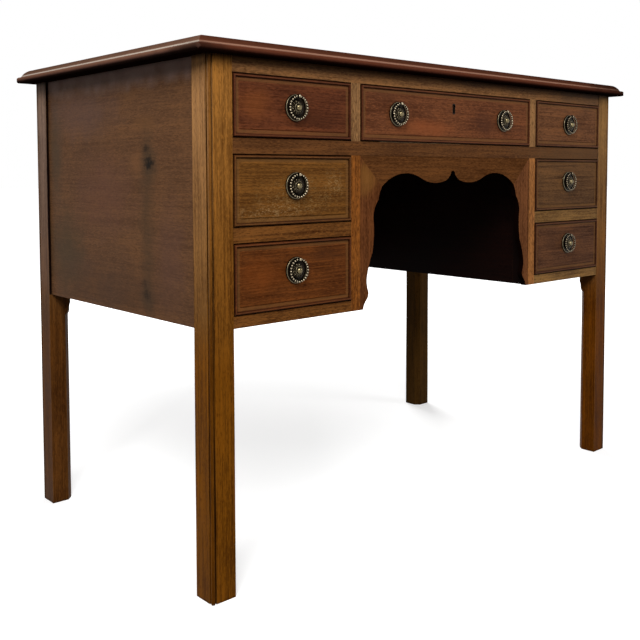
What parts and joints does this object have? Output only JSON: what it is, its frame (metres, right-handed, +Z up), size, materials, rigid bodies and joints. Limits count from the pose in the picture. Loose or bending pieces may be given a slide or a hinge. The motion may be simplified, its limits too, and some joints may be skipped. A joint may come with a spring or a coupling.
{
  "type": "writing table",
  "caption": "Kneehole writing table with drawers in two pedestals, a moulded top, straight beaded legs and brass ring pulls.",
  "frame": {"origin": "on the floor, under the middle of the table", "axes": "+X to the sitter's right, +Y to the back, +Z up; the drawers open towards -Y"},
  "size_m": [1.054, 0.564, 0.76],
  "materials": {
    "mahogany_top": "polished",
    "mahogany_frame": "satin",
    "mahogany_panel": "satin",
    "mahogany_front": "polished",
    "drawer_lining": "raw",
    "brass": "aged",
    "lock_steel": "satin"
  },
  "bodies": {
    "frame": {"table_top": "mahogany_top", "back_panel": "mahogany_panel", "top_rail": "mahogany_frame", "middle_rail": "mahogany_frame", "apron": "mahogany_frame", "drawer_runners": "drawer_lining", "drawer_stops": "drawer_lining", "glue_blocks": "drawer_lining", "leg_front_left": "mahogany_frame", "leg_front_right": "mahogany_frame", "leg_rear_left": "mahogany_frame", "leg_rear_right": "mahogany_frame", "side_panel_left": "mahogany_panel", "side_panel_right": "mahogany_panel", "drawer_rail_left": "mahogany_frame", "drawer_rail_right": "mahogany_frame", "bottom_rail_left": "mahogany_frame", "bottom_rail_right": "mahogany_frame", "divider_left": "mahogany_frame", "divider_right": "mahogany_frame", "stile_left": "mahogany_frame", "stile_right": "mahogany_frame", "kneehole_wall_left": "mahogany_panel", "kneehole_wall_right": "mahogany_panel", "bracket_left": "mahogany_frame", "bracket_right": "mahogany_frame"},
    "drawer_top_left": {"drawer_front_top_left": "mahogany_front", "drawer_box_top_left": "drawer_lining", "handle_plate_top_left": "brass"},
    "ring_top_left": {"ring_pull_top_left": "brass"},
    "drawer_top_right": {"drawer_front_top_right": "mahogany_front", "drawer_box_top_right": "drawer_lining", "handle_plate_top_right": "brass"},
    "ring_top_right": {"ring_pull_top_right": "brass"},
    "drawer_middle_left": {"drawer_front_middle_left": "mahogany_front", "drawer_box_middle_left": "drawer_lining", "handle_plate_middle_left": "brass"},
    "ring_middle_left": {"ring_pull_middle_left": "brass"},
    "drawer_middle_right": {"drawer_front_middle_right": "mahogany_front", "drawer_box_middle_right": "drawer_lining", "handle_plate_middle_right": "brass"},
    "ring_middle_right": {"ring_pull_middle_right": "brass"},
    "drawer_bottom_left": {"drawer_front_bottom_left": "mahogany_front", "drawer_box_bottom_left": "drawer_lining", "handle_plate_bottom_left": "brass"},
    "ring_bottom_left": {"ring_pull_bottom_left": "brass"},
    "drawer_bottom_right": {"drawer_front_bottom_right": "mahogany_front", "drawer_box_bottom_right": "drawer_lining", "handle_plate_bottom_right": "brass"},
    "ring_bottom_right": {"ring_pull_bottom_right": "brass"},
    "drawer_centre": {"drawer_front_centre": "mahogany_front", "drawer_box_centre": "drawer_lining", "handle_plate_centre": "brass", "escutcheon": "brass", "lock_case": "lock_steel"},
    "ring_centre_left": {"ring_pull_centre_left": "brass"},
    "ring_centre_right": {"ring_pull_centre_right": "brass"},
    "lock_bolt": {"lock_bolt": "lock_steel"}
  },
  "joints": [
    {"name": "drawer_top_left_slide", "type": "slide", "parent": "frame", "child": "drawer_top_left", "axis": [0, -1, 0], "range_m": [0, 0.36]},
    {"name": "ring_top_left_swing", "type": "hinge", "parent": "drawer_top_left", "child": "ring_top_left", "pos_m": [-0.35, -0.2709, 0.69005], "axis": [-1, 0, 0], "range_deg": [0, 95]},
    {"name": "drawer_top_right_slide", "type": "slide", "parent": "frame", "child": "drawer_top_right", "axis": [0, -1, 0], "range_m": [0, 0.36]},
    {"name": "ring_top_right_swing", "type": "hinge", "parent": "drawer_top_right", "child": "ring_top_right", "pos_m": [0.35, -0.2709, 0.69005], "axis": [-1, 0, 0], "range_deg": [0, 95]},
    {"name": "drawer_middle_left_slide", "type": "slide", "parent": "frame", "child": "drawer_middle_left", "axis": [0, -1, 0], "range_m": [0, 0.36]},
    {"name": "ring_middle_left_swing", "type": "hinge", "parent": "drawer_middle_left", "child": "ring_middle_left", "pos_m": [-0.35, -0.2709, 0.5797], "axis": [-1, 0, 0], "range_deg": [0, 95]},
    {"name": "drawer_middle_right_slide", "type": "slide", "parent": "frame", "child": "drawer_middle_right", "axis": [0, -1, 0], "range_m": [0, 0.36]},
    {"name": "ring_middle_right_swing", "type": "hinge", "parent": "drawer_middle_right", "child": "ring_middle_right", "pos_m": [0.35, -0.2709, 0.5797], "axis": [-1, 0, 0], "range_deg": [0, 95]},
    {"name": "drawer_bottom_left_slide", "type": "slide", "parent": "frame", "child": "drawer_bottom_left", "axis": [0, -1, 0], "range_m": [0, 0.36]},
    {"name": "ring_bottom_left_swing", "type": "hinge", "parent": "drawer_bottom_left", "child": "ring_bottom_left", "pos_m": [-0.35, -0.2709, 0.45895], "axis": [-1, 0, 0], "range_deg": [0, 95]},
    {"name": "drawer_bottom_right_slide", "type": "slide", "parent": "frame", "child": "drawer_bottom_right", "axis": [0, -1, 0], "range_m": [0, 0.36]},
    {"name": "ring_bottom_right_swing", "type": "hinge", "parent": "drawer_bottom_right", "child": "ring_bottom_right", "pos_m": [0.35, -0.2709, 0.45895], "axis": [-1, 0, 0], "range_deg": [0, 95]},
    {"name": "drawer_centre_slide", "type": "slide", "parent": "frame", "child": "drawer_centre", "axis": [0, -1, 0], "range_m": [0, 0.36]},
    {"name": "ring_centre_left_swing", "type": "hinge", "parent": "drawer_centre", "child": "ring_centre_left", "pos_m": [-0.1385, -0.2709, 0.69005], "axis": [-1, 0, 0], "range_deg": [0, 95]},
    {"name": "ring_centre_right_swing", "type": "hinge", "parent": "drawer_centre", "child": "ring_centre_right", "pos_m": [0.1385, -0.2709, 0.69005], "axis": [-1, 0, 0], "range_deg": [0, 95]},
    {"name": "lock_bolt_slide", "type": "slide", "parent": "drawer_centre", "child": "lock_bolt", "axis": [0, 0, 1], "range_m": [0, 0.007]}
  ]
}
